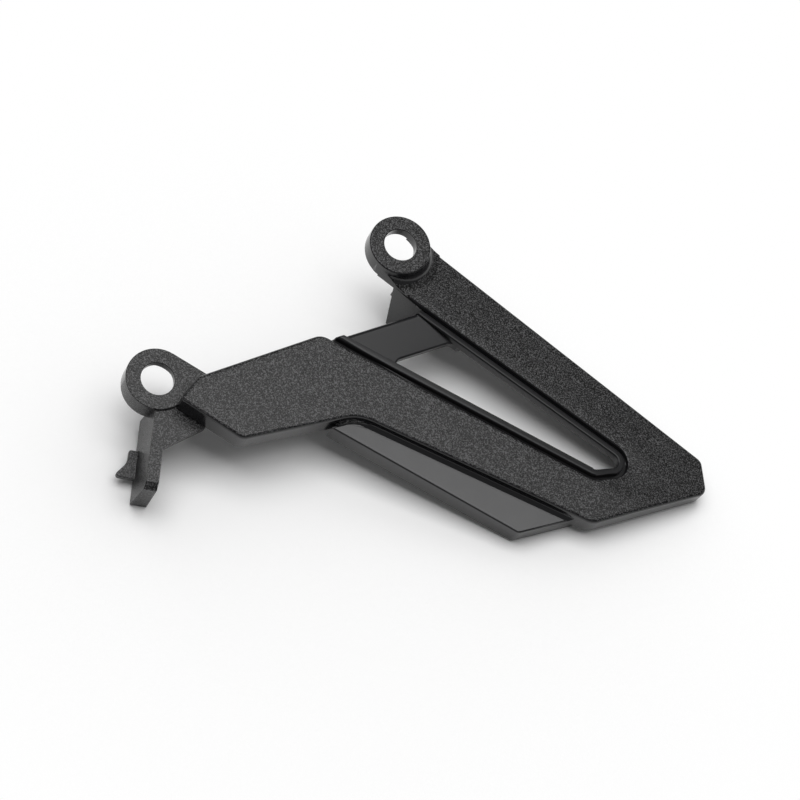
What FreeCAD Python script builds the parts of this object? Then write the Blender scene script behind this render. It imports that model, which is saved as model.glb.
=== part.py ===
import FreeCAD, Part
import math
import os

# Motorcycle sprocket guard, one injection moulding in black plastic.
#
# The frame: the origin lies on the lower bolt's axis, where the back of the lower eye meets the frame
# of the motorcycle. +Z points outwards along both bolts, +X runs along the guard's straight outer edge
# towards its tip, and +Y goes from the lower bolt towards the upper one. All sizes are millimetres.

Vector = FreeCAD.Vector
up = Vector(0, 0, 1)

# Bolt eyes
bore_diameter = 8.4
eye_diameter = 15.9
eye_wall = 2.0
eye_edge_radius = 0.5
lower_eye_thickness = 2.0
upper_eye_thickness = 3.0
lower_eye_depth = 6.0
upper_eye_depth = 5.0
upper_eye_x = 25.7
upper_eye_y = 66.3
upper_eye_top = 10.5
flare_radius = 4.2
neck_overlap = 0.9

# Moulded walls of the band and the arm
band_top = 7.4
skirt_depth = 6.3
skin = 2.9
wall = 2.4
edge_radius = 1.0

# Plan of the band and the arm
heel_x = 7.5
heel_low_y = -3.0
heel_high_y = 4.9
knee = (25.3, -1.2)
knee_radius = 3.0
hollow = (43.8, 23.3)
hollow_radius = 11.0
chin = (105.7, 39.4)
chin_radius = 4.5
nose = (124.6, 66.6)
brow = (118.9, 73.5)
tip_radius = 2.5
arm_root_x = 31.2
shoulder_x = 24.2
shoulder_radius = 4.0
small_radius = 1.2

# The arm's top falls away from a soft fold
fold_point = (101.5, 49.5)
fold_angle = 8.0
fold_width = 4.0
arm_slope = 4.5

# Level border of the arm's top along the window, and the shallow dish around the window's tip
border_width = 2.2
dish_centre = (103.8, 56.2)
dish_radius = 7.8
dish_depth = 0.3
dish_rings = 4

# Window with its raised rim, the groove around the rim, and the bridge that closes the window
window = ((40.9, 40.4), (98.1, 51.8), (105.0, 58.9), (50.6, 56.6))
window_radius = 2.0
rim_width = 1.7
groove_width = 0.9
groove_depth = 1.7
bridge_outer_top = 6.0
bridge_inner_top = 4.2
bridge_thickness = 2.4
bridge_width = 9.4

# Lower panel
panel_drop = 3.3
panel_depth = 5.8
panel_skin = 2.5
panel_start = (40.4, 17.4)
panel_corner = (92.4, 26.2)
panel_corner_radius = 1.8
panel_rake = 53.7
panel_edge_radius = 0.5
panel_bevel = 1.0

# Web, leg and barb below the lower eye
web_drop = 1.0
web_thickness = 2.0
web_corner = (11.7, -13.0)
web_end = (16.3, -2.2)
leg_start = (3.2, -4.8)
neck_low = (6.5, -1.8)
neck_corner = (12.0, 9.6)
leg_angle = -60.3
leg_length = 22.2
leg_width = 3.1
leg_bottom = -12.0
leg_flare = 1.1
leg_chamfer_run = 1.6
leg_chamfer_fall = 1.4
barb_thickness = 1.6
barb_top = -9.6
barb_start = 9.0
barb_root = 7.4
barb_shoulder = 3.2
barb_reach = 6.3
barb_turn = 3.3
barb_radii = (0.6, 4.0, 0.7)

# Tongue below the arm's root
tongue_width = 17.0
tongue_overhang = 0.5
tongue_seat = 0.15
tongue_taper = 3.9
tongue_bottom = -12.0
tongue_thickness = 2.6

# Stiffening ribs inside the band
rib_thickness = 1.6
rib_gap = 1.0
rib_first_x = 33.0
rib_pitch = 22.0
rib_count = 4

# Sizes that follow from those above
eye_radius = eye_diameter / 2
arm_root_y = upper_eye_y + eye_radius
skirt_bottom = band_top - skirt_depth
panel_top = band_top - panel_drop
upper_eye_bottom = upper_eye_top - upper_eye_depth
lower_eye_bottom = lower_eye_thickness - lower_eye_depth
web_top = lower_eye_thickness - web_drop
groove_edge = rim_width + groove_width

# Far enough to pass any feature, and near enough to count as touching
reach = nose[0] / 2
touch = 0.01


def unit(dx, dy):
    """A plan direction of length 1."""
    length = math.hypot(dx, dy)
    return dx / length, dy / length


def offset(corners, distances):
    """Corners of a counter-clockwise outline after each edge has moved outwards by its distance.

    A corner is (x, y, radius), and edge number i runs from corner i to the next one.
    """
    count = len(corners)
    if not isinstance(distances, (list, tuple)):
        distances = [distances] * count
    moved = []
    for i in range(count):
        before, here, after = corners[i - 1], corners[i], corners[(i + 1) % count]
        ax, ay = unit(here[0] - before[0], here[1] - before[1])
        bx, by = unit(after[0] - here[0], after[1] - here[1])
        turn = ax * by - ay * bx
        da, db = distances[i - 1], distances[i]
        # the moved edges are n . p = n . here + d, with the outward normals (ay, -ax) and (by, -bx)
        x = here[0] + (db * ax - da * bx) / turn
        y = here[1] + (db * ay - da * by) / turn
        grow = min(da, db)
        radius = here[2] + grow if turn > 0 else here[2] - grow
        moved.append((x, y, max(radius, 0.0)))
    return moved


def rounded_wire(corners, z):
    """A closed wire through the corners at height z, each corner rounded by a tangent arc."""
    ends = []
    edges = []
    for i, (x, y, radius) in enumerate(corners):
        before, after = corners[i - 1], corners[(i + 1) % len(corners)]
        ax, ay = unit(before[0] - x, before[1] - y)
        bx, by = unit(after[0] - x, after[1] - y)
        here = Vector(x, y, z)
        if radius < touch:
            ends.append((here, here))
            continue
        half = math.acos(max(-1.0, min(1.0, ax * bx + ay * by))) / 2
        run = radius / math.tan(half)
        mx, my = unit(ax + bx, ay + by)
        bulge = radius / math.sin(half) - radius
        first = here + Vector(ax, ay, 0) * run
        last = here + Vector(bx, by, 0) * run
        ends.append((first, last))
        edges.append(Part.Arc(first, here + Vector(mx, my, 0) * bulge, last).toShape())
    for i, (first, last) in enumerate(ends):
        following = ends[(i + 1) % len(ends)][0]
        if last.distanceToPoint(following) > touch:
            edges.append(Part.LineSegment(last, following).toShape())
    return Part.Wire(Part.__sortEdges__(edges))


def prism(corners, low, high):
    """The outline raised from low to high."""
    return Part.Face(rounded_wire(corners, low)).extrude(Vector(0, 0, high - low))


def cylinder(x, y, diameter, low, high):
    """An upright cylinder."""
    return Part.makeCylinder(diameter / 2, high - low, Vector(x, y, low))


def sharp(points, radius=0.0):
    """Plan points as corners that share one radius."""
    return [(x, y, radius) for x, y in points]


def above(point, normal):
    """Everything above a plane, as a large block."""
    size = 4 * reach
    block = Part.makeBox(2 * size, 2 * size, size, Vector(-size, -size, 0))
    block.Placement = FreeCAD.Placement(Vector(*point), FreeCAD.Rotation(up, normal))
    return block


def edges_on(shape, test):
    """The shape's edges whose middle passes the test and that border an upright face."""
    found = []
    for edge in shape.Edges:
        middle = edge.valueAt((edge.FirstParameter + edge.LastParameter) / 2)
        if not test(middle):
            continue
        for face in shape.ancestorsOfType(edge, Part.Face):
            u, v = face.Surface.parameter(middle)
            if abs(face.normalAt(u, v).z) < touch:
                found.append(edge)
                break
    return found


# Top of the band and the arm

away = Vector(-math.sin(math.radians(fold_angle)), math.cos(math.radians(fold_angle)), 0)
arm_fall = math.tan(math.radians(arm_slope))
fold_fall = math.tan(math.radians(arm_slope / 2))


def top_at(x, y):
    """Height of the guard's outer face over a plan point, on the band, the fold or the arm."""
    beyond = away.dot(Vector(x - fold_point[0], y - fold_point[1], 0))
    return band_top - max(0.0, beyond * arm_fall, (beyond + fold_width / 2) * fold_fall)


def below_top(shape, drop):
    """What lies under the guard's outer face, lowered by drop."""
    fold = Vector(*fold_point, band_top - drop)
    shape = shape.cut(above(fold, up))
    shape = shape.cut(above(fold - away * (fold_width / 2), up + away * fold_fall))
    return shape.cut(above(fold, up + away * arm_fall))


# Outlines of the window, its rim and groove, and of the body that carries them

window_outline = sharp(window, window_radius)


def window_offset(distance, past_bridge=reach / 3):
    """The window's outline grown by a distance, and carried out past the bridge."""
    return offset(window_outline, [distance, distance, distance, past_bridge])


def bridge_corner(index, past_bridge):
    """A plan point on the groove's outer side: 0 on the band's side or 3 on the arm's."""
    return window_offset(groove_edge, past_bridge)[index][:2]


def on_line(first, second, x):
    """The point at x of the line through two plan points."""
    share = (x - first[0]) / (second[0] - first[0])
    return x, first[1] + share * (second[1] - first[1])


def meet(point, angle, first, second):
    """Where a line that leaves a plan point at an angle crosses the line through two others."""
    c, s = math.cos(math.radians(angle)), math.sin(math.radians(angle))
    dx, dy = second[0] - first[0], second[1] - first[1]
    share = ((first[0] - point[0]) * dy - (first[1] - point[1]) * dx) / (c * dy - s * dx)
    return point[0] + share * c, point[1] + share * s


crook = bridge_corner(0, bridge_width)
bridge_top = bridge_corner(3, bridge_width)
shoulder = on_line(crook, bridge_corner(0, 0), shoulder_x)
arm_root = on_line(bridge_top, bridge_corner(3, 0), arm_root_x)
body_outline = [
    (heel_x, heel_low_y, small_radius),
    (*knee, knee_radius),
    (*hollow, hollow_radius),
    (*chin, chin_radius),
    (*nose, tip_radius),
    (*brow, tip_radius),
    (arm_root_x, arm_root_y, 0.0),
    (*arm_root, 0.0),
    (*bridge_top, 0.0),
    (*crook, 0.0),
    (*shoulder, shoulder_radius),
    (heel_x, heel_high_y, small_radius),
]


def above_bridge(drop):
    """Everything above the bridge's sloping top, lowered by drop."""
    near, far = window[0], window[3]
    ax, ay = unit(far[0] - near[0], far[1] - near[1])
    slope = (bridge_outer_top - bridge_inner_top) / bridge_width
    return above((*near, bridge_inner_top - drop), Vector(ay * slope, -ax * slope, 1))


def make_border():
    """What the level border along the window takes off the arm's sloping top."""
    far = window_offset(groove_edge + border_width)
    near = window_offset(groove_edge - groove_width / 2)
    first, last = [Vector(x, y, top_at(x, y)) for x, y, radius in (far[2], far[3])]
    along = last - first
    level = Vector(-along.y, along.x, 0)
    end_x = window[2][0] + groove_edge
    strip = [on_line(far[3], far[2], end_x), far[3][:2], near[3][:2], on_line(near[3], near[2], end_x)]
    return prism(sharp(strip), skirt_bottom, band_top).common(above(first, along.cross(level)))


def make_dish():
    """What the dish around the window's tip takes off: a shallow bowl square to the arm's top."""
    profile = []
    last_ring = dish_rings - 1 / 2
    for i in range(1, dish_rings + 1):
        # the bowl meets the arm's top halfway up its last ring
        share = i / last_ring
        profile.append(Vector(dish_radius * share, 0, dish_depth * (share * share - 1)))
    high = profile[-1].z + skin
    profile += [Vector(profile[-1].x, 0, high), Vector(0, 0, high), Vector(0, 0, profile[0].z)]
    bowl = Part.Face(Part.makePolygon(profile + profile[:1])).revolve(Vector(0, 0, 0), up, 360)
    seat = Vector(*dish_centre, top_at(*dish_centre))
    bowl.Placement = FreeCAD.Placement(seat, FreeCAD.Rotation(up, up + away * arm_fall))
    return bowl.cut(prism(window_offset(groove_edge - groove_width / 2), -reach, reach))


def make_body():
    """Band, arm and bridge, solid so far, with rounded edges and a groove that sets off the window's rim."""
    body = below_top(prism(body_outline, skirt_bottom, band_top), 0)
    insert = prism(window_offset(rim_width), skirt_bottom, band_top)
    groove = prism(window_offset(groove_edge), skirt_bottom, band_top).cut(insert)
    body = body.cut(groove.cut(below_top(groove, groove_depth)))
    pocket = prism(window_offset(0), skirt_bottom, band_top)
    body = body.cut(pocket.common(above_bridge(0))).removeSplitter()

    def on_rounded_edge(p):
        if insert.isInside(p, touch, True):
            return abs(p.z - bridge_outer_top) < touch
        return abs(p.z - top_at(p.x, p.y)) < touch

    body = body.makeFillet(edge_radius, edges_on(body, on_rounded_edge))
    return body.cut([make_border(), make_dish()])


def make_hollow():
    """The space behind the skin of the band and the arm, which leaves the bridge its own thickness."""
    space = below_top(prism(offset(body_outline, -wall), skirt_bottom - wall, band_top), skin)
    strip = [
        bridge_corner(0, bridge_width),
        bridge_corner(0, -window_radius),
        bridge_corner(3, -window_radius),
        bridge_corner(3, bridge_width),
    ]
    bridge = prism(sharp(strip), skirt_bottom, band_top).common(above_bridge(bridge_thickness))
    return space.cut(bridge)


def make_ribs(space):
    """Cross ribs between the skirts of the band, kept back from the window."""
    clear = prism(window_offset(groove_edge + wall), skirt_bottom - wall, band_top + reach)
    ribs = []
    for i in range(rib_count):
        corner = Vector(rib_first_x + i * rib_pitch, -reach, skirt_bottom + rib_gap)
        ribs.append(Part.makeBox(rib_thickness, reach + fold_point[1], skirt_depth, corner))
    return Part.makeCompound(ribs).common(space).cut(clear)


def make_upper_eye():
    """The raised eye at the arm's root, flared down to the arm's top."""
    eye = cylinder(upper_eye_x, upper_eye_y, eye_diameter, upper_eye_bottom, upper_eye_top)
    eye = eye.makeFillet(eye_edge_radius, [e for e in eye.Edges if e.BoundBox.ZMin > upper_eye_top - touch])
    neck = [
        (upper_eye_x, upper_eye_y - eye_radius),
        arm_root,
        (arm_root_x, arm_root_y),
        (upper_eye_x, upper_eye_y + eye_radius),
    ]
    neck = below_top(prism(sharp(neck), upper_eye_bottom, band_top), 0)
    root = [
        (upper_eye_x, upper_eye_y - eye_radius + eye_wall),
        (arm_root_x + wall, arm_root[1] + eye_wall),
        (arm_root_x + wall, arm_root_y),
        (upper_eye_x, arm_root_y),
    ]
    root = prism(sharp(root), top_at(arm_root_x, arm_root_y) - neck_overlap, upper_eye_bottom + eye_wall)
    column = root.common(cylinder(upper_eye_x, upper_eye_y, eye_diameter, skirt_bottom, upper_eye_top))
    root = below_top(root, 0).fuse(column)
    foot = top_at(upper_eye_x, upper_eye_y)
    rise = min(flare_radius, upper_eye_top - eye_edge_radius - foot - eye_radius * arm_fall)
    run = eye_radius + flare_radius
    lowest = Vector(run, 0, 0)
    highest = Vector(run - math.sqrt(flare_radius ** 2 - (flare_radius - rise) ** 2), 0, rise)
    turn = math.acos((flare_radius - rise) / flare_radius) / 2
    middle = Vector(run - flare_radius * math.sin(turn), 0, flare_radius * (1 - math.cos(turn)))
    rest = [highest, Vector(0, 0, rise), Vector(0, 0, -neck_overlap), Vector(run, 0, -neck_overlap), lowest]
    edges = [Part.Arc(lowest, middle, highest).toShape()] + Part.makePolygon(rest).Edges
    flare = Part.Face(Part.Wire(edges)).revolve(Vector(0, 0, 0), up, 360)
    # the flare stands square to the arm's sloping top
    seat = Vector(upper_eye_x, upper_eye_y, foot)
    flare.Placement = FreeCAD.Placement(seat, FreeCAD.Rotation(up, up + away * arm_fall))
    strip = [
        (upper_eye_x, upper_eye_y - eye_radius),
        arm_root,
        on_line(arm_root, bridge_top, upper_eye_x + run),
        on_line((arm_root_x, arm_root_y), brow, upper_eye_x + run),
        (arm_root_x, arm_root_y),
        (upper_eye_x, upper_eye_y + eye_radius),
    ]
    flare = flare.common(prism(sharp(strip), skirt_bottom, upper_eye_top))
    return eye.fuse([neck, root, flare])


def make_panel():
    """The lower panel, a tray beside the band's wall with a bevel along the wall's foot."""
    inner = offset(body_outline, -wall)
    inner_hollow, inner_chin = inner[2][:2], inner[3][:2]
    outline = [
        (*panel_start, 0.0),
        (*panel_corner, panel_corner_radius),
        (*meet(panel_corner, panel_rake, inner_hollow, inner_chin), 0.0),
        (*inner_hollow, 0.0),
    ]
    foot = [rounded_wire(offset(body_outline, panel_bevel), panel_top)]
    foot.append(rounded_wire(body_outline, panel_top + panel_bevel))
    foot = Part.makeLoft(foot, True, True).common(prism(outline, panel_top, panel_top + panel_bevel))
    low = panel_top - panel_depth
    panel = prism(outline, low, panel_top)

    def on_outer_edge(p):
        clear_of_band = p.y < on_line(hollow, chin, p.x)[1] - panel_bevel
        return abs(p.z - panel_top) < touch and p.x > panel_start[0] and clear_of_band

    panel = panel.makeFillet(panel_edge_radius, edges_on(panel, on_outer_edge))
    return panel.cut(prism(offset(outline, -wall), low, panel_top - panel_skin)).fuse(foot)


def make_lower_eye():
    """The eye on the lower bolt, joined to the band's heel by a neck with a tangent upper side."""
    eye = cylinder(0, 0, eye_diameter, lower_eye_bottom, lower_eye_thickness)
    far = math.hypot(*neck_corner)
    angle = math.atan2(neck_corner[1], neck_corner[0]) + math.acos(eye_radius / far)
    tangent = (eye_radius * math.cos(angle), eye_radius * math.sin(angle))
    neck = sharp([(0, 0), leg_start, neck_low, (neck_corner[0], heel_low_y + wall), neck_corner, tangent])
    riser = prism(neck, lower_eye_bottom, band_top - skin / 2)
    riser = riser.common(prism(offset(body_outline, -wall / 2), lower_eye_bottom, band_top))
    return eye.fuse([prism(neck, lower_eye_bottom, lower_eye_thickness), riser]).removeSplitter()


def leg_point(along, out):
    """A plan point of the leg: along it from its start, and out from its left side."""
    c, s = math.cos(math.radians(leg_angle)), math.sin(math.radians(leg_angle))
    return leg_start[0] + along * c + out * s, leg_start[1] + along * s - out * c


def make_leg():
    """Web, leg blade and barb."""
    web = [leg_start, leg_point(leg_length / 2, 0), web_corner, web_end, (web_end[0], heel_high_y), neck_low]
    web = prism(sharp(web), web_top - web_thickness, web_top)
    top = [leg_point(-leg_width, 0), leg_point(leg_length, 0), leg_point(leg_length, -leg_width)]
    top.append(leg_point(-leg_width, -leg_width))
    low = [leg_point(-leg_width, leg_flare), leg_point(leg_length, leg_flare), top[2], top[3]]
    wires = []
    for points, z in ((top, web_top), (low, leg_bottom)):
        points = [Vector(x, y, z) for x, y in points]
        wires.append(Part.makePolygon(points + points[:1]))
    blade = Part.makeLoft(wires, True, True)
    x, y = leg_point(leg_length - leg_chamfer_run, 0)
    c, s = math.cos(math.radians(leg_angle)), math.sin(math.radians(leg_angle))
    slope = leg_chamfer_fall / leg_chamfer_run
    blade = blade.cut(above((x, y, web_top), Vector(c * slope, s * slope, 1)))
    barb = [
        (*leg_point(barb_start, 0), 0.0),
        (*leg_point(barb_start, barb_shoulder), barb_radii[0]),
        (*leg_point(barb_start + barb_turn, barb_shoulder), barb_radii[1]),
        (*leg_point(barb_start + barb_root, barb_reach), barb_radii[2]),
        (*leg_point(barb_start + barb_root, 0), 0.0),
    ]
    barb = prism(barb, barb_top - barb_thickness, barb_top)
    return web.fuse([blade, barb])


def make_tongue():
    """The tapered tongue that stands behind the arm's root."""
    left = arm_root_x - tongue_overhang
    points = [
        (left, upper_eye_bottom + tongue_seat),
        (left + tongue_taper, tongue_bottom),
        (left + tongue_width - tongue_taper, tongue_bottom),
        (left + tongue_width, skirt_bottom + wall),
    ]
    points = [Vector(x, arm_root[1], z) for x, z in points]
    face = Part.Face(Part.makePolygon(points + points[:1]))
    return face.extrude(Vector(0, tongue_thickness, 0))


def make_guard():
    """All of the moulding in one solid, with its window and bolt holes."""
    space = make_hollow()
    guard = make_body().cut(space)
    pieces = [make_ribs(space), make_upper_eye(), make_panel(), make_lower_eye(), make_leg(), make_tongue()]
    guard = guard.fuse(pieces)
    guard = guard.cut(prism(window_outline, -reach, reach))
    for x, y, seat in ((0, 0, 0), (upper_eye_x, upper_eye_y, upper_eye_top - upper_eye_thickness)):
        guard = guard.cut(cylinder(x, y, eye_diameter - 2 * eye_wall, -reach, seat))
        guard = guard.cut(cylinder(x, y, bore_diameter, -reach, reach))
    return guard


guard = make_guard()
os.makedirs("parts", exist_ok=True)
guard.exportStep("parts/sprocket_guard.step")
box = guard.optimalBoundingBox()
print("solids", len(guard.Solids), "valid", guard.isValid(), "volume %.0f" % guard.Volume)
print("box %.1f %.1f %.1f to %.1f %.1f %.1f" % (box.XMin, box.YMin, box.ZMin, box.XMax, box.YMax, box.ZMax))
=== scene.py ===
# %% [markdown]
# # A moulded sprocket guard
# This guard is one piece of black plastic, so there is nothing to assemble here.
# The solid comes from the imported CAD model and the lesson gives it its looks: soft edges, a grained
# finish on the outer faces, smooth ones on the rest, and a plain studio around it.

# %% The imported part
import math

import bmesh
import bpy
from mathutils import Matrix, Vector
from mathutils.geometry import intersect_line_line, intersect_point_line


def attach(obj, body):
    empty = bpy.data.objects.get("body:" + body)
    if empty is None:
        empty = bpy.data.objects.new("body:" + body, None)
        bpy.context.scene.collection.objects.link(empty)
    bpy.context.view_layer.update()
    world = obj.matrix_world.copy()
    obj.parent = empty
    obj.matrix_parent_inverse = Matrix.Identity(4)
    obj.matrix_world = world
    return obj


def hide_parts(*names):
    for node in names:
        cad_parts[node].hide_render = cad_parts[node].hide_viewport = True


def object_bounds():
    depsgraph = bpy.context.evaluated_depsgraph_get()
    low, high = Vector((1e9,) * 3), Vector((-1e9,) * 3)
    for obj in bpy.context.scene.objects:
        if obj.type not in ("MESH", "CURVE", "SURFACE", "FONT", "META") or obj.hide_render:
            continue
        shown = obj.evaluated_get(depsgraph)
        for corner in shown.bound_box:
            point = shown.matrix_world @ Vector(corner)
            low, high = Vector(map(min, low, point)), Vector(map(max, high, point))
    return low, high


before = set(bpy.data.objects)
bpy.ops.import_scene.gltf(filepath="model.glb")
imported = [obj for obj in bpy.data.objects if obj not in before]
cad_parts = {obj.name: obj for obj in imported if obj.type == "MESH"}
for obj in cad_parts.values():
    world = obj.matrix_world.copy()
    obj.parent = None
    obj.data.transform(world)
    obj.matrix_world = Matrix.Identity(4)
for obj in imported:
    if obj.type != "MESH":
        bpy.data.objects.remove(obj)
cad_low, cad_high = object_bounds()
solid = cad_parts["sprocket_guard"]
MM = 0.001
cad_size = [round(s / MM, 1) for s in cad_high - cad_low]
print("packed solid:", len(solid.data.polygons), "triangles,", cad_size, "mm")

# %% [markdown]
# ## A copy that can be finished
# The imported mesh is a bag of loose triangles. Its corners aren't shared, so no bevel can run along an
# edge. A copy is merged, and the triangles that lie in one plane are dissolved into single faces. The
# copy then stands for the solid, which stays as it is for the physics.

# %% Copy, merge and dissolve
MERGE_DISTANCE = 0.002 * MM
FLAT_ANGLE = math.radians(0.3)

bpy.ops.object.select_all(action="DESELECT")
solid.select_set(True)
bpy.context.view_layer.objects.active = solid
bpy.ops.object.duplicate()
guard = bpy.context.view_layer.objects.active
guard.name = "moulding"
bpy.ops.object.mode_set(mode="EDIT")
bpy.ops.mesh.select_all(action="SELECT")
bpy.ops.mesh.remove_doubles(threshold=MERGE_DISTANCE)
bpy.ops.mesh.dissolve_limited(angle_limit=FLAT_ANGLE)
bpy.ops.object.mode_set(mode="OBJECT")
print("merged copy:", len(guard.data.vertices), "corners,", len(guard.data.polygons), "faces")

# %% [markdown]
# ## Where things are
# Edges and faces are picked by their place further on. All that needs knowing is the window's outline:
# the rim, the bridge and the groove lie within a few millimetres of its two long sides and its tip.

# %% Distance from the window
WINDOW = [Vector(p) * MM for p in ((40.9, 40.4, 0), (98.1, 51.8, 0), (105.0, 58.9, 0), (50.6, 56.6, 0))]
WINDOW_RADIUS = 2.0 * MM
RIM_REACH = 2.1 * MM
GROOVE_REACH = 2.8 * MM
PAST_BRIDGE = 30 * MM

sides = []
for first, second in zip(WINDOW[:3], WINDOW[1:]):
    along = (second - first).normalized()
    inwards = Vector((0, 0, WINDOW_RADIUS)).cross(along)
    sides.append((first + inwards, second + inwards, along))
turns = [intersect_line_line(*a[:2], *b[:2])[0] for a, b in zip(sides, sides[1:])]
ends = sides[0][0] - sides[0][2] * PAST_BRIDGE, sides[2][1] + sides[2][2] * PAST_BRIDGE
core = [ends[0]] + turns + [ends[1]]


def beyond_window(x, y):
    """How far a plan point lies outside the window's long sides and rounded tip, or -1 inside them."""
    point = Vector((x, y, 0))
    if all(along.cross(point - first).z > 0 for first, second, along in sides):
        return -1.0
    far = math.inf
    for first, second in zip(core, core[1:]):
        near, share = intersect_point_line(point, first, second)
        near = first if share < 0 else second if share > 1 else near
        far = min(far, (point - near).length)
    return far - WINDOW_RADIUS


print("window length:", round((WINDOW[1] - WINDOW[0]).length / MM, 1), "mm")

# %% [markdown]
# ## Soft edges
# No edge of a moulding is truly sharp, and the thin light that runs along an edge is what makes it look
# real. The large roundings are in the solid already, and a narrow bevel takes care of the other edges.
# A bevel that is wider than its neighbours leave room for folds over itself, so the lesson measures that
# room first. The rim's edges are rounder than the others, and an edge in a tight place stays sharp.

# %% Room beside an edge
EDGE_WIDTH = 0.45 * MM
PLAIN_SHARE = 0.5  # of that width, for an edge away from the rim
SPARE = 2.2  # room that a bevel needs, in its own widths
EDGE_ANGLE = math.radians(38)
STRAIGHT = 0.9  # cosine above which one edge carries on from another
STRIP_CORNERS = 4


def is_sharp(edge):
    return edge.is_manifold and edge.calc_face_angle() > EDGE_ANGLE


def room_beside(edge):
    """How wide a bevel may get before it reaches the far ends of the edges next to it."""
    room = math.inf
    for face in edge.link_faces:
        strip = len(face.verts) <= STRIP_CORNERS
        run = edge.calc_length() if strip else face.calc_perimeter() / 2
        room = min(room, face.calc_area() / run)
    for loop in edge.link_loops:
        for other in (loop.link_loop_next.edge, loop.link_loop_prev.edge):
            corner = other.verts[0] if other.verts[0] in edge.verts else other.verts[1]
            along = (edge.other_vert(corner).co - corner.co).normalized()
            side = other.other_vert(corner).co - corner.co
            goes_on = along.dot(side.normalized()) < -STRAIGHT
            if goes_on and is_sharp(other):
                continue
            room = min(room, side.length if goes_on else along.cross(side).length)
    return room


shape = bmesh.new()
shape.from_mesh(guard.data)
weights = shape.edges.layers.float.new("bevel_weight_edge")
for edge in shape.edges:
    if is_sharp(edge):
        x, y, z = (edge.verts[0].co + edge.verts[1].co) / 2
        out = beyond_window(x, y)
        share = 1.0 if z > 0 and out < RIM_REACH else PLAIN_SHARE
        in_groove = z > 0 and RIM_REACH < out < GROOVE_REACH
        if not in_groove and room_beside(edge) > SPARE * share * EDGE_WIDTH:
            edge[weights] = share
print("edges to soften:", sum(edge[weights] > 0 for edge in shape.edges))
shape.to_mesh(guard.data)
shape.free()

# %% [markdown]
# Where a bevel still folds, one face of it turns over. Those places are found on a trial bevel, the short
# edges beside them go back to sharp, and the trial is made again until nothing folds or the trials run out.

# %% Trial bevels
NEAR = 0.8 * MM
SHORT = 5.0 * MM
TRIALS = 12
TURN_BACK = -0.8  # cosine below which a face's outline turns back on itself
BEVEL_STEPS = 3


def folds(mesh):
    """Points where a face folds over itself: corners that turn back, in faces with a piece turned over."""
    mesh.calc_loop_triangles()
    turned = {}
    for piece in mesh.loop_triangles:
        corners = [mesh.vertices[i].co.copy() for i in piece.vertices]
        normal = (corners[1] - corners[0]).cross(corners[2] - corners[0])
        if normal.dot(mesh.polygons[piece.polygon_index].normal) < 0:
            turned.setdefault(piece.polygon_index, []).extend(corners)
    found = []
    for index, points in turned.items():
        ring = [mesh.vertices[i].co.copy() for i in mesh.polygons[index].vertices]
        back = []
        for before, here, after in zip(ring[-1:] + ring, ring, ring[1:] + ring[:1]):
            if (here - before).normalized().dot((after - here).normalized()) < TURN_BACK:
                back.append(here)
        found += back or points
    return found


bevel = guard.modifiers.new("soft edges", "BEVEL")
bevel.width = EDGE_WIDTH
bevel.segments = BEVEL_STEPS
bevel.limit_method = "WEIGHT"
bevel.use_clamp_overlap = False
weights = guard.data.attributes["bevel_weight_edge"].data
corners = guard.data.vertices
for trial in range(TRIALS):
    bpy.context.view_layer.update()
    found = folds(guard.evaluated_get(bpy.context.evaluated_depsgraph_get()).data)
    if not found:
        break
    beside = {}
    for edge in guard.data.edges:
        ends = [corners[i].co for i in edge.vertices]
        if weights[edge.index].value > 0 and min((p - end).length for p in found for end in ends) < NEAR:
            beside[edge.index] = (ends[0] - ends[1]).length
    short = [index for index, length in beside.items() if length < SHORT]
    for index in short or beside:
        weights[index].value = 0.0
    guard.data.update_tag()
print("trials:", trial + 1, "edges left soft:", sum(w.value > 0 for w in weights))

# %% [markdown]
# The bevel is then applied. Faces that meet at a slight angle are shaded as one curve, and weighted
# normals keep the large faces flat beside the narrow ones.

# %% Bevel and smooth
SMOOTH_ANGLE = math.radians(32)

bpy.ops.object.modifier_apply(modifier=bevel.name)
bpy.ops.object.shade_smooth_by_angle(angle=SMOOTH_ANGLE)
flat = guard.modifiers.new("flat faces", "WEIGHTED_NORMAL")
flat.keep_sharp = True
bpy.ops.object.modifier_apply(modifier=flat.name)
print("with soft edges:", len(guard.data.polygons), "faces")

# %% [markdown]
# ## Shader sums
# A finish is a tree of nodes. The class below wraps one socket, so that a sum such as 1 - mask adds its
# own Math node. Any other node comes from its one method.

# %% Values that add their nodes


class Value:
    """A socket that can be used in a sum."""

    def __init__(self, tree, socket=None):
        self.tree = tree
        self.socket = socket

    def node(self, kind, settings=None, inputs=None, output=0):
        """Adds a node, sets it up, fills its sockets and gives one of its outputs."""
        made = self.tree.nodes.new(kind)
        for name, value in (settings or {}).items():
            if name == "stops":
                for stop, (place, colour) in zip(made.color_ramp.elements, value):
                    stop.position = place
                    stop.color = colour
            else:
                setattr(made, name, value)
        for name, value in (inputs or {}).items():
            if isinstance(value, Value):
                self.tree.links.new(value.socket, made.inputs[name])
            else:
                made.inputs[name].default_value = value
        return Value(self.tree, made.outputs[output] if made.outputs else None)

    def also(self, output):
        """Another output of the same node."""
        return Value(self.tree, self.socket.node.outputs[output])

    def maths(self, operation, first, second):
        return self.node("ShaderNodeMath", {"operation": operation}, {0: first, 1: second})

    def __add__(self, other):
        return self.maths("ADD", self, other)

    __radd__ = __add__

    def __sub__(self, other):
        return self.maths("SUBTRACT", self, other)

    def __rsub__(self, other):
        return self.maths("SUBTRACT", other, self)

    def __mul__(self, other):
        return self.maths("MULTIPLY", self, other)

    __rmul__ = __mul__


def new_finish(name):
    """An empty material, and a Value to build its tree from."""
    material = bpy.data.materials.new(name)
    material.use_nodes = True
    material.node_tree.nodes.clear()
    return material, Value(material.node_tree)


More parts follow.
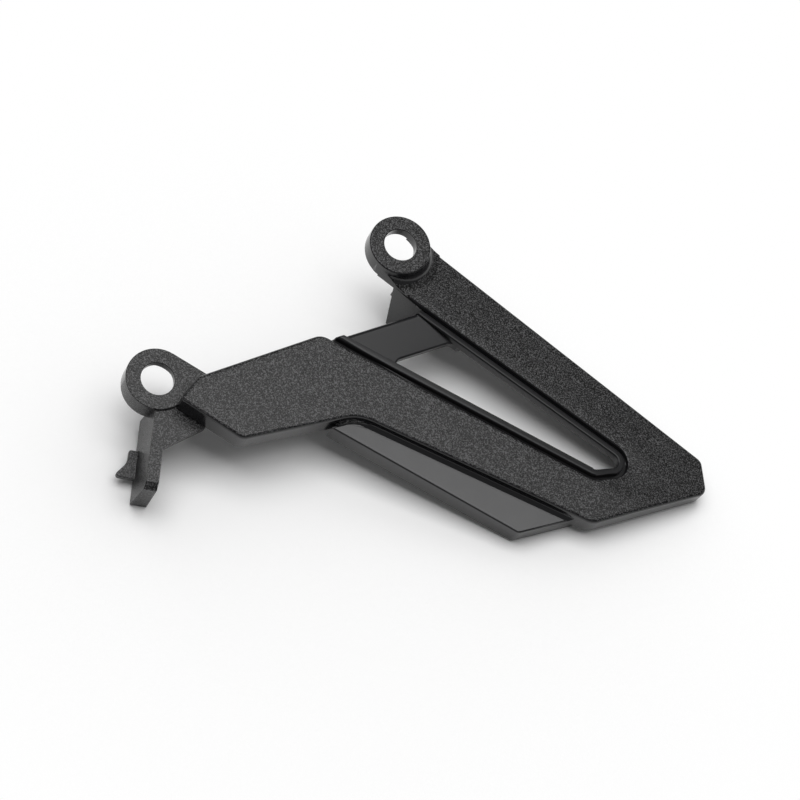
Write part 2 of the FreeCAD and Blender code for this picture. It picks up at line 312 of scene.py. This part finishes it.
def plastic(sheet, colour, roughness, normal, gloss):
    """The plastic's shader, joined to the output."""
    inputs = {"Base Color": colour, "Roughness": roughness, "Specular IOR Level": gloss, "Normal": normal}
    shader = sheet.node("ShaderNodeBsdfPrincipled", {}, inputs)
    sheet.node("ShaderNodeOutputMaterial", {}, {"Surface": shader})


print("shader sums ready")

# %% [markdown]
# ## The smooth finishes
# The panel and the walls come from a polished part of the mould and are satin. The window's rim and the
# bridge are duller. Neither finish has grain, only a very slight waviness.

# %% Satin and matt
BLACK = (0.009, 0.009, 0.010, 1.0)
RIPPLE = {"Scale": 180.0, "Detail": 2.0, "Roughness": 0.5}
RIPPLE_RELIEF = {"Strength": 0.04, "Distance": 0.2 * MM}
RIPPLE_SPREAD = 0.05


def smooth_finish(name, roughness, gloss):
    """A plain black finish with a slight waviness."""
    material, sheet = new_finish(name)
    place = sheet.node("ShaderNodeTexCoord", output="Object")
    ripple = sheet.node("ShaderNodeTexNoise", {}, {"Vector": place, **RIPPLE})
    bump = sheet.node("ShaderNodeBump", {}, {"Height": ripple, **RIPPLE_RELIEF})
    plastic(sheet, BLACK, ripple * RIPPLE_SPREAD + roughness, bump, gloss)
    return material


satin = smooth_finish("satin_black", roughness=0.15, gloss=0.5)
matt = smooth_finish("matt_black", roughness=0.28, gloss=0.36)
print("smooth finishes:", satin.name, matt.name)

# %% [markdown]
# ## The grained finish
# The outer faces carry the fine grain that is etched into the mould. Grain this small shows as a sparkle
# of lighter and darker points. The colour carries that sparkle as painted glints, and the roughness and
# the bump vary with it too.

# %% Grain
GRAIN = {"Scale": 3300.0, "Detail": 1.0, "Roughness": 0.5}
GRAIN_RELIEF = {"Strength": 1.0, "Distance": 0.10 * MM}
# painted glints: the grain's colour runs from black to a light grey that stands in for its sparkle
PAINTED_GLINT_STOPS = [(0.49, (0.0, 0.0, 0.0, 1.0)), (0.65, (0.095, 0.095, 0.097, 1.0))]
GRAIN_ROUGHNESS = 0.24
GRAIN_SPREAD = 0.1
GRAIN_GLOSS = 0.36

grained, sheet = new_finish("grained_black")
place = sheet.node("ShaderNodeTexCoord", output="Object")
fine = sheet.node("ShaderNodeTexNoise", {}, {"Vector": place, **GRAIN})
bump = sheet.node("ShaderNodeBump", {}, {"Height": fine, **GRAIN_RELIEF})
# painted glints in the grain's colour
painted_glint = sheet.node("ShaderNodeValToRGB", {"stops": PAINTED_GLINT_STOPS}, {"Fac": fine})
plastic(sheet, painted_glint, fine * GRAIN_SPREAD + GRAIN_ROUGHNESS, bump, GRAIN_GLOSS)
print("grained finish:", len(sheet.tree.nodes), "nodes")

# %% [markdown]
# ## Which face has which finish
# The grained faces look outwards, and the leg is grained on all sides. The panel, the rim and the bridge
# look outwards too but are smooth: the panel is told apart by its level and the others by their place
# beside the window.

# %% Finish by face
PANEL_LEVEL = 4.1 * MM
LEVEL_ROOM = 0.15 * MM
OUTWARDS = 0.8
LEG_END = -5 * MM
LEG_SIDE = 20 * MM


def finish_of(face):
    """The finish of one face, by its place and the way it looks."""
    x, y, z = face.center
    if z > 0 and beyond_window(x, y) < RIM_REACH:
        return matt
    if y < LEG_END and x < LEG_SIDE:
        return grained
    if face.normal.z < OUTWARDS or abs(z - PANEL_LEVEL) < LEVEL_ROOM:
        return satin
    return grained


finishes = [satin, matt, grained]
guard.data.materials.clear()
for finish in finishes:
    guard.data.materials.append(finish)
for face in guard.data.polygons:
    face.material_index = finishes.index(finish_of(face))
for finish in finishes:
    count = sum(finishes[face.material_index] == finish for face in guard.data.polygons)
    print(finish.name, count, "faces")

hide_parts("sprocket_guard")
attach(guard, "root")

# %% [markdown]
# ## Floor
# Laid down loose, the guard touches the table with its leg, its tongue and the corner of its panel, so
# the floor is the plane through those points, lowered until no corner dips into it. The paper shows pure
# white where nothing stands near it. Near the guard that white fades out with an occlusion measure that
# leans towards the camera: a painted shadow, as if the light came from behind. Where it fades, the
# paper's real shading under the lamps shows through.

# %% Floor
CONTACTS = [Vector(p) * MM for p in ((16.6, -22.5, -12.0), (43.6, 58.6, -12.0), (102.9, 40.9, -1.7))]
FLOOR_SIZE = 6.0
# painted shadow: its reach, its lean, its samples and the openness below which the white is gone
PAINTED_SHADOW_REACH = 110 * MM
PAINTED_SHADOW_LEAN = (-0.10, 0.60, 0.79)
PAINTED_SHADOW_SAMPLES = 16
PAINTED_SHADOW_FROM = 0.65
PAPER = (0.95, 0.95, 0.95, 1.0)
WHITE = (1.0, 1.0, 1.0, 1.0)

up = (CONTACTS[1] - CONTACTS[0]).cross(CONTACTS[2] - CONTACTS[0])
up = -up.normalized() if up.z < 0 else up.normalized()
bpy.ops.object.select_all(action="DESELECT")
bpy.ops.mesh.primitive_plane_add(size=FLOOR_SIZE)
floor = bpy.context.view_layer.objects.active
floor.name = "floor"
turn = up.to_track_quat("Z", "Y").to_matrix().to_4x4()
drop = min((corner.co - CONTACTS[0]).dot(up) for corner in guard.data.vertices)
floor.data.transform(Matrix.Translation(CONTACTS[0] + up * drop) @ turn)

paper, sheet = new_finish("white_paper")
light = sheet.node("ShaderNodeLightPath", output="Is Camera Ray")
seen = light + light.also("Is Glossy Ray") + light.also("Is Transmission Ray")
lean = sheet.node("ShaderNodeCombineXYZ", {}, dict(zip("XYZ", PAINTED_SHADOW_LEAN)))
around = {"Distance": PAINTED_SHADOW_REACH, "Normal": lean}
# painted shadow: the occlusion measure decides where the white emission fades out
clear = sheet.node("ShaderNodeAmbientOcclusion", {"samples": PAINTED_SHADOW_SAMPLES}, around, output="AO")
clear = sheet.node("ShaderNodeMapRange", {}, {"Value": clear, "From Min": PAINTED_SHADOW_FROM, "From Max": 1.0})
shade = sheet.node("ShaderNodeBsdfDiffuse", {}, {"Color": PAPER})
white = sheet.node("ShaderNodeEmission", {}, {"Color": WHITE, "Strength": 1.0})
# the white fades out near the guard, a painted shadow over the paper's real diffuse shading
paper_mix = sheet.node("ShaderNodeMixShader", {}, {0: seen * clear, 1: shade, 2: white})
sheet.node("ShaderNodeOutputMaterial", {}, {"Surface": paper_mix})
floor.data.materials.append(paper)
tilt = math.degrees(up.angle(Vector((0, 0, 1))))
print("floor tilt:", round(tilt, 1), "degrees, lowered", round(-drop / MM, 3), "mm")

# %% [markdown]
# ## Camera
# The photograph was taken from above the lower edge with a long lens. The camera's place and axes were
# worked out from the two bolt holes and the straight edges.

# %% Camera
CAMERA_PLACE = Vector((45.401, -312.443, 656.321)) * MM
CAMERA_RIGHT = Vector((0.78849, 0.540848, 0.292859))
CAMERA_UP = Vector((-0.615024, 0.697461, 0.367823))
CAMERA_BACK = Vector((-0.005321, -0.47014, 0.882576))
LENS = 135.0
SENSOR = 36.0
CLIP = (0.01, 50.0)

lens = bpy.data.cameras.new("camera")
camera = bpy.data.objects.new("camera", lens)
bpy.context.scene.collection.objects.link(camera)
axes = Matrix((CAMERA_RIGHT, CAMERA_UP, CAMERA_BACK)).transposed().to_4x4()
camera.matrix_world = Matrix.Translation(CAMERA_PLACE) @ axes
lens.lens = LENS
lens.sensor_width = SENSOR
lens.clip_start, lens.clip_end = CLIP
bpy.context.scene.camera = camera
print("camera at", [round(c, 3) for c in camera.location])

# %% [markdown]
# ## Light
# A large soft box hangs over the table, to the left and a little behind the guard, and looks straight down.
# Black plastic shows mostly what it mirrors: level faces mirror the box, and the arm, which falls away from
# the camera, mirrors the dark room just past the box's far edge.

# %% Lamps and world
BOX_PLACE = (-0.125, 0.082, 0.5)
BOX_TURN = math.radians(12)
BOX_SIZE = (0.696, 0.376)
BOX_POWER = 2.7
ROOM_STRENGTH = 0.2

lamp = bpy.data.lights.new("overhead_box", "AREA")
lamp.shape = "RECTANGLE"
lamp.size, lamp.size_y = BOX_SIZE
lamp.energy = BOX_POWER
soft_box = bpy.data.objects.new("overhead_box", lamp)
soft_box.location = BOX_PLACE
soft_box.rotation_euler = (0, 0, BOX_TURN)
bpy.context.scene.collection.objects.link(soft_box)

world = bpy.data.worlds.new("studio")
bpy.context.scene.world = world
world.use_nodes = True
room = world.node_tree.nodes["Background"]
room.inputs["Color"].default_value = WHITE
room.inputs["Strength"].default_value = ROOM_STRENGTH
bpy.context.scene.view_settings.view_transform = "Standard"
